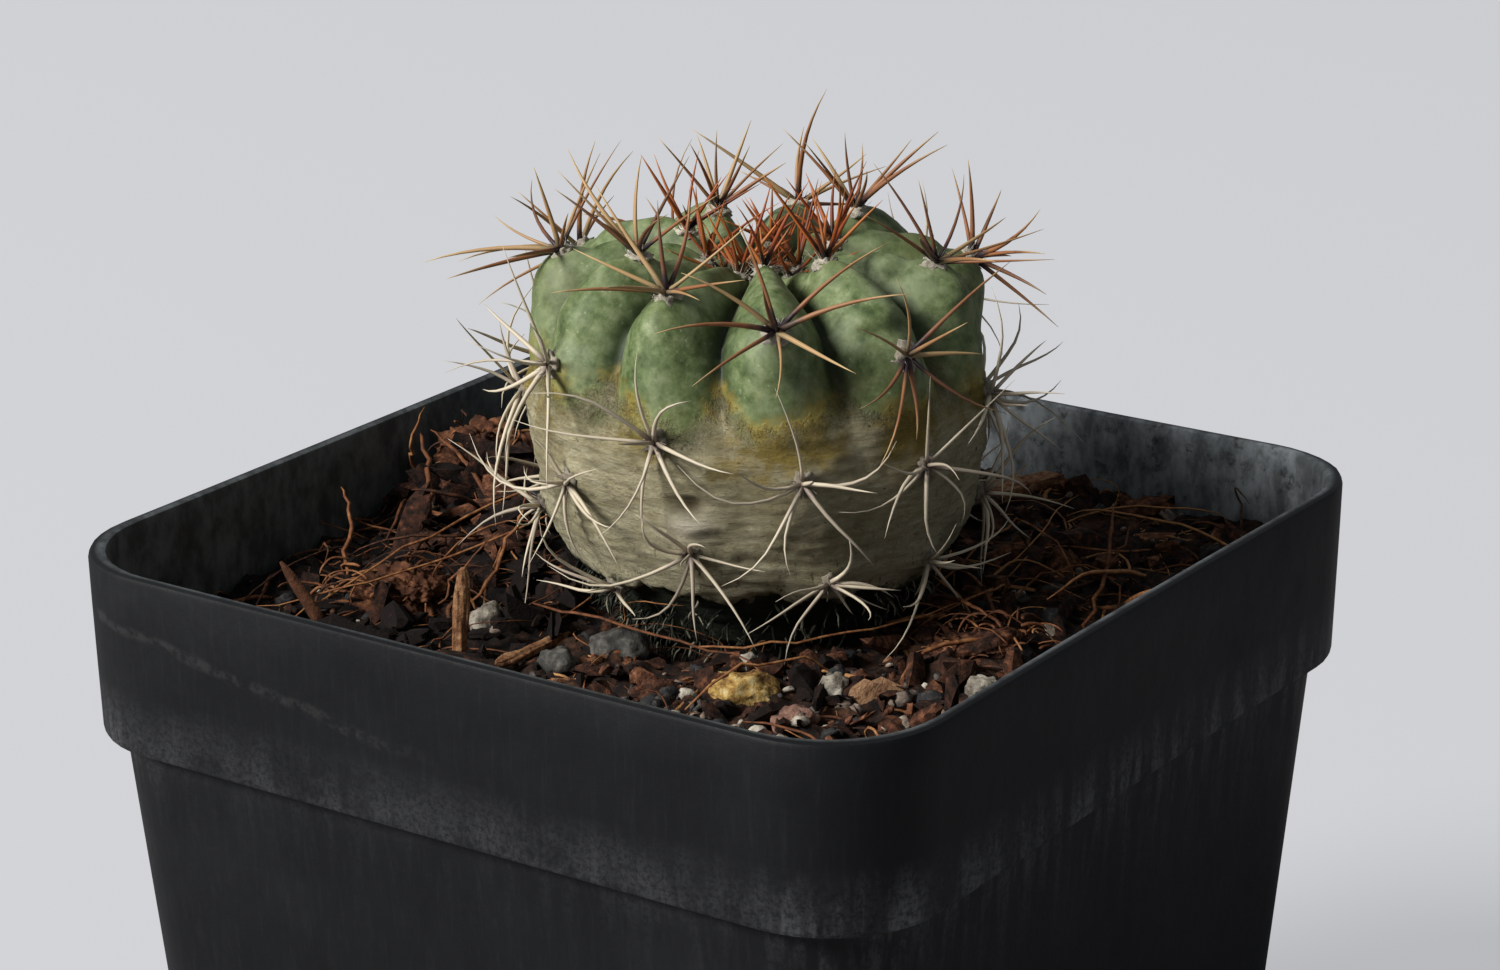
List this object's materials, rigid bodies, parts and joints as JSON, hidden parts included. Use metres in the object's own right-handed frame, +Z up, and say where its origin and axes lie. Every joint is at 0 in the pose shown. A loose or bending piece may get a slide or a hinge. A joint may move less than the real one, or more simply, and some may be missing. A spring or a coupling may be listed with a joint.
{
  "type": "potted round cactus",
  "caption": "Round ribbed cactus with clustered spines, green above and corky below, rooted in a coir and stone mix in a square tapered nursery pot with a banded rim.",
  "frame": {"origin": "middle of the pot's underside, on the surface it stands on", "axes": "+Z up the pot's axis, +X and +Y square to its sides; the cactus stands a little towards +X of the middle"},
  "size_m": [0.07, 0.07, 0.0932],
  "materials": {
    "pot_plastic": "thin moulded plastic, satin, dusty and scuffed, dried water marks inside",
    "coir_mix": "matte, coarse and fibrous: coir, bark crumbs and grit",
    "cactus_skin": "waxy matte green on top, turning to beige corky skin below",
    "spine_young": "smooth, orange-brown with dark bases",
    "spine_mid": "smooth, grey-brown with dark bases",
    "spine_old": "dry, matte, bone-coloured",
    "ochre_stone": "rough, porous",
    "dark_stone": "rough",
    "pale_stone": "rough",
    "red_stone": "rough",
    "bark_husk": "rough and fibrous",
    "split_twig": "dry, split, fibrous"
  },
  "bodies": {
    "root": {"bark_chip_1": "bark_husk", "bark_chip_2": "bark_husk", "bark_slab": "bark_husk", "cactus_body": "cactus_skin", "husk_chunk": "bark_husk", "pot": "pot_plastic", "potting_mix": "coir_mix", "spines_rib01_1": "spine_young", "spines_rib01_2": "spine_mid", "spines_rib01_3": "spine_old", "spines_rib01_4": "spine_old", "spines_rib02_1": "spine_young", "spines_rib02_2": "spine_mid", "spines_rib02_3": "spine_old", "spines_rib02_4": "spine_old", "spines_rib03_1": "spine_young", "spines_rib03_2": "spine_mid", "spines_rib03_3": "spine_old", "spines_rib03_4": "spine_old", "spines_rib04_1": "spine_young", "spines_rib04_2": "spine_mid", "spines_rib04_3": "spine_old", "spines_rib04_4": "spine_old", "spines_rib05_1": "spine_young", "spines_rib05_2": "spine_mid", "spines_rib05_3": "spine_old", "spines_rib05_4": "spine_old", "spines_rib06_1": "spine_young", "spines_rib06_2": "spine_mid", "spines_rib06_3": "spine_old", "spines_rib06_4": "spine_old", "spines_rib07_1": "spine_young", "spines_rib07_2": "spine_mid", "spines_rib07_3": "spine_old", "spines_rib07_4": "spine_old", "spines_rib08_1": "spine_young", "spines_rib08_2": "spine_mid", "spines_rib08_3": "spine_old", "spines_rib08_4": "spine_old", "spines_rib09_1": "spine_young", "spines_rib09_2": "spine_mid", "spines_rib09_3": "spine_old", "spines_rib09_4": "spine_old", "spines_rib10_1": "spine_young", "spines_rib10_2": "spine_mid", "spines_rib10_3": "spine_old", "spines_rib10_4": "spine_old", "spines_rib11_1": "spine_young", "spines_rib11_2": "spine_mid", "spines_rib11_3": "spine_old", "spines_rib11_4": "spine_old", "stone_1": "ochre_stone", "stone_2": "dark_stone", "stone_3": "dark_stone", "stone_4": "pale_stone", "stone_5": "red_stone", "stone_6": "pale_stone", "stone_7": "pale_stone", "twig_1": "split_twig", "twig_2": "split_twig"}
  },
  "joints": []
}
